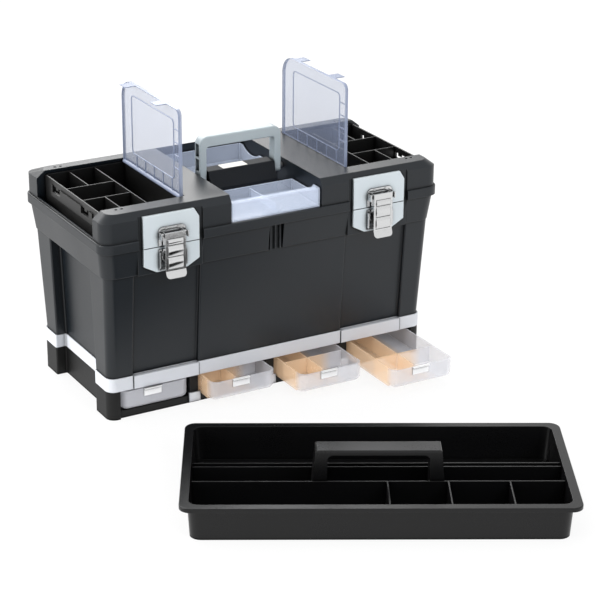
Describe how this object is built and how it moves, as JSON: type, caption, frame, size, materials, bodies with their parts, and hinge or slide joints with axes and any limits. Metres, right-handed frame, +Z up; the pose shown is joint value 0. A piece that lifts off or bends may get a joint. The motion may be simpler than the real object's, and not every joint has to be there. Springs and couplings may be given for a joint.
{
  "type": "toolbox with organisers",
  "caption": "Portable toolbox with a hinged organiser lid, clear covers, latches, a carry handle, pull-out drawers under the tub and a separate tote tray.",
  "frame": {"origin": "centre of the base's underside, on the floor that the box stands on", "axes": "+X to the right along the long front, +Y to the back, +Z up"},
  "size_m": [0.6418, 0.9239, 0.465],
  "materials": {
    "graphite_plastic": "fine moulded grain, satin",
    "base_plastic": "moulded grain, matt",
    "bin_plastic": "moulded grain, matt",
    "tray_plastic": "moulded, satin",
    "trim_plastic": "moulded grain, satin",
    "latch_plastic": "moulded grain, satin",
    "handle_plastic": "moulded, satin",
    "label_paper": "blank printed label, satin",
    "clear_plastic": "clear, smooth",
    "frosted_plastic": "frosted clear, smooth",
    "milky_plastic": "milky clear, smooth",
    "white_plastic": "smooth",
    "chrome_steel": "polished plating",
    "plain_steel": "bright zinc"
  },
  "bodies": {
    "box": {"base_housing": "base_plastic", "post_caps": "trim_plastic", "trim_band": "trim_plastic", "tub": "graphite_plastic", "base_screws": "plain_steel", "strike_plate_left": "latch_plastic", "strike_plate_right": "latch_plastic", "keeper_left": "chrome_steel", "keeper_right": "chrome_steel", "keeper_rivets": "chrome_steel", "hinge_pin_left": "plain_steel", "hinge_pin_right": "plain_steel"},
    "lid": {"lid_shell": "graphite_plastic", "organiser_left": "bin_plastic", "organiser_right": "bin_plastic", "console_block": "graphite_plastic", "console_label": "label_paper", "latch_plate_left": "latch_plastic", "latch_plate_right": "latch_plastic", "latch_bracket_left": "chrome_steel", "latch_bracket_right": "chrome_steel", "latch_pin_left": "chrome_steel", "latch_pin_right": "chrome_steel", "bracket_rivets": "chrome_steel", "cover_pin_left": "plain_steel", "cover_pin_right": "plain_steel", "handle_pins": "plain_steel"},
    "cover_left": {"cover_left": "clear_plastic"},
    "cover_right": {"cover_right": "clear_plastic"},
    "handle": {"carry_handle": "handle_plastic"},
    "front_box": {"front_box": "milky_plastic"},
    "rear_box": {"rear_box": "milky_plastic"},
    "lever_left": {"latch_lever_left": "chrome_steel"},
    "bail_left": {"latch_bail_left": "chrome_steel"},
    "lever_right": {"latch_lever_right": "chrome_steel"},
    "bail_right": {"latch_bail_right": "chrome_steel"},
    "tote_tray": {"tote_tray": "tray_plastic"},
    "drawer_1": {"drawer_1": "frosted_plastic", "drawer_pull_1": "white_plastic"},
    "drawer_2": {"drawer_2": "frosted_plastic", "drawer_pull_2": "white_plastic"},
    "drawer_3": {"drawer_3": "frosted_plastic", "drawer_pull_3": "white_plastic"},
    "drawer_4": {"drawer_4": "frosted_plastic", "drawer_pull_4": "white_plastic"}
  },
  "joints": [
    {"name": "lid_hinge", "type": "hinge", "parent": "box", "child": "lid", "pos_m": [0, 0.1515, 0.28], "axis": [-1, 0, 0], "range_deg": [0, 100]},
    {"name": "cover_left_hinge", "type": "hinge", "parent": "lid", "child": "cover_left", "pos_m": [-0.1425, -0.006, 0.3305], "axis": [0, -1, 0], "range_deg": [0, 90]},
    {"name": "cover_right_hinge", "type": "hinge", "parent": "lid", "child": "cover_right", "pos_m": [0.1425, -0.006, 0.3305], "axis": [0, 1, 0], "range_deg": [0, 90]},
    {"name": "handle_fold", "type": "hinge", "parent": "lid", "child": "handle", "pos_m": [0, -0.018, 0.322], "axis": [1, 0, 0], "range_deg": [0, 90]},
    {"name": "front_box_slide", "type": "slide", "parent": "lid", "child": "front_box", "axis": [0, -1, 0], "range_m": [0, 0.07]},
    {"name": "rear_box_lift", "type": "slide", "parent": "lid", "child": "rear_box", "axis": [0, 0, 1], "range_m": [0, 0.06]},
    {"name": "lever_left_pivot", "type": "hinge", "parent": "lid", "child": "lever_left", "pos_m": [-0.179, -0.1535, 0.297], "axis": [-1, 0, 0], "range_deg": [0, 110]},
    {"name": "bail_left_pivot", "type": "hinge", "parent": "lever_left", "child": "bail_left", "pos_m": [-0.179, -0.1535, 0.284], "axis": [-1, 0, 0], "range_deg": [-110, 0]},
    {"name": "lever_right_pivot", "type": "hinge", "parent": "lid", "child": "lever_right", "pos_m": [0.179, -0.1535, 0.297], "axis": [-1, 0, 0], "range_deg": [0, 110]},
    {"name": "bail_right_pivot", "type": "hinge", "parent": "lever_right", "child": "bail_right", "pos_m": [0.179, -0.1535, 0.284], "axis": [-1, 0, 0], "range_deg": [-110, 0]},
    {"name": "drawer_1_slide", "type": "slide", "parent": "box", "child": "drawer_1", "axis": [0, -1, 0], "range_m": [0, 0.14]},
    {"name": "drawer_2_slide", "type": "slide", "parent": "box", "child": "drawer_2", "axis": [0, -1, 0], "range_m": [-0.036, 0.104]},
    {"name": "drawer_3_slide", "type": "slide", "parent": "box", "child": "drawer_3", "axis": [0, -1, 0], "range_m": [-0.076, 0.064]},
    {"name": "drawer_4_slide", "type": "slide", "parent": "box", "child": "drawer_4", "axis": [0, -1, 0], "range_m": [-0.131, 0.009]},
    {"name": "tote_tray_lift", "type": "slide", "parent": "box", "child": "tote_tray", "axis": [0, 0, 1], "range_m": [0, 0.25]}
  ],
  "couplings": [
    {"joint": "bail_left_pivot", "follows": "lever_left_pivot", "ratio": -1},
    {"joint": "bail_right_pivot", "follows": "lever_right_pivot", "ratio": -1}
  ]
}
